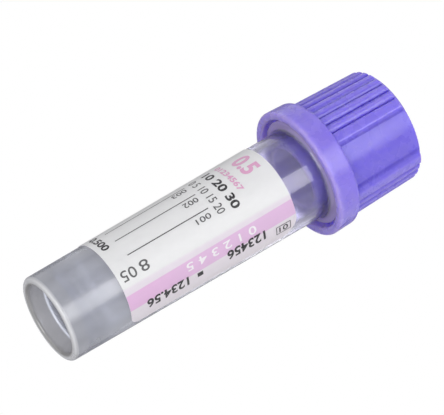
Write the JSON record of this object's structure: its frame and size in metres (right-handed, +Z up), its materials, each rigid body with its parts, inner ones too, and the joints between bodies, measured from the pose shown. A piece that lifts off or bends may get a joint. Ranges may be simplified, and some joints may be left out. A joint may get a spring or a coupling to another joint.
{
  "type": "blood collection tube",
  "caption": "Small capillary blood collection tube with a skirted flat base, a wrapped label and a ribbed push-on cap with a hollow plug.",
  "frame": {"origin": "centre of the base ring, on the surface that the tube stands on", "axes": "+Z up the tube's axis towards the cap; -Y is the front of the label"},
  "size_m": [0.0158, 0.0158, 0.0468],
  "materials": {
    "clear_polypropylene": "semi-clear moulded polypropylene, slightly milky, glossy",
    "label_film": "white satin self-adhesive film with a pink band and grey-black print",
    "purple_polyethylene": "purple moulded polyethylene, satin gloss"
  },
  "bodies": {
    "tube": {"tube": "clear_polypropylene", "label": "label_film"},
    "cap": {"cap": "purple_polyethylene"}
  },
  "joints": [
    {"name": "cap_lift", "type": "slide", "parent": "tube", "child": "cap", "axis": [0, 0, 1], "range_m": [0, 0.02]}
  ]
}
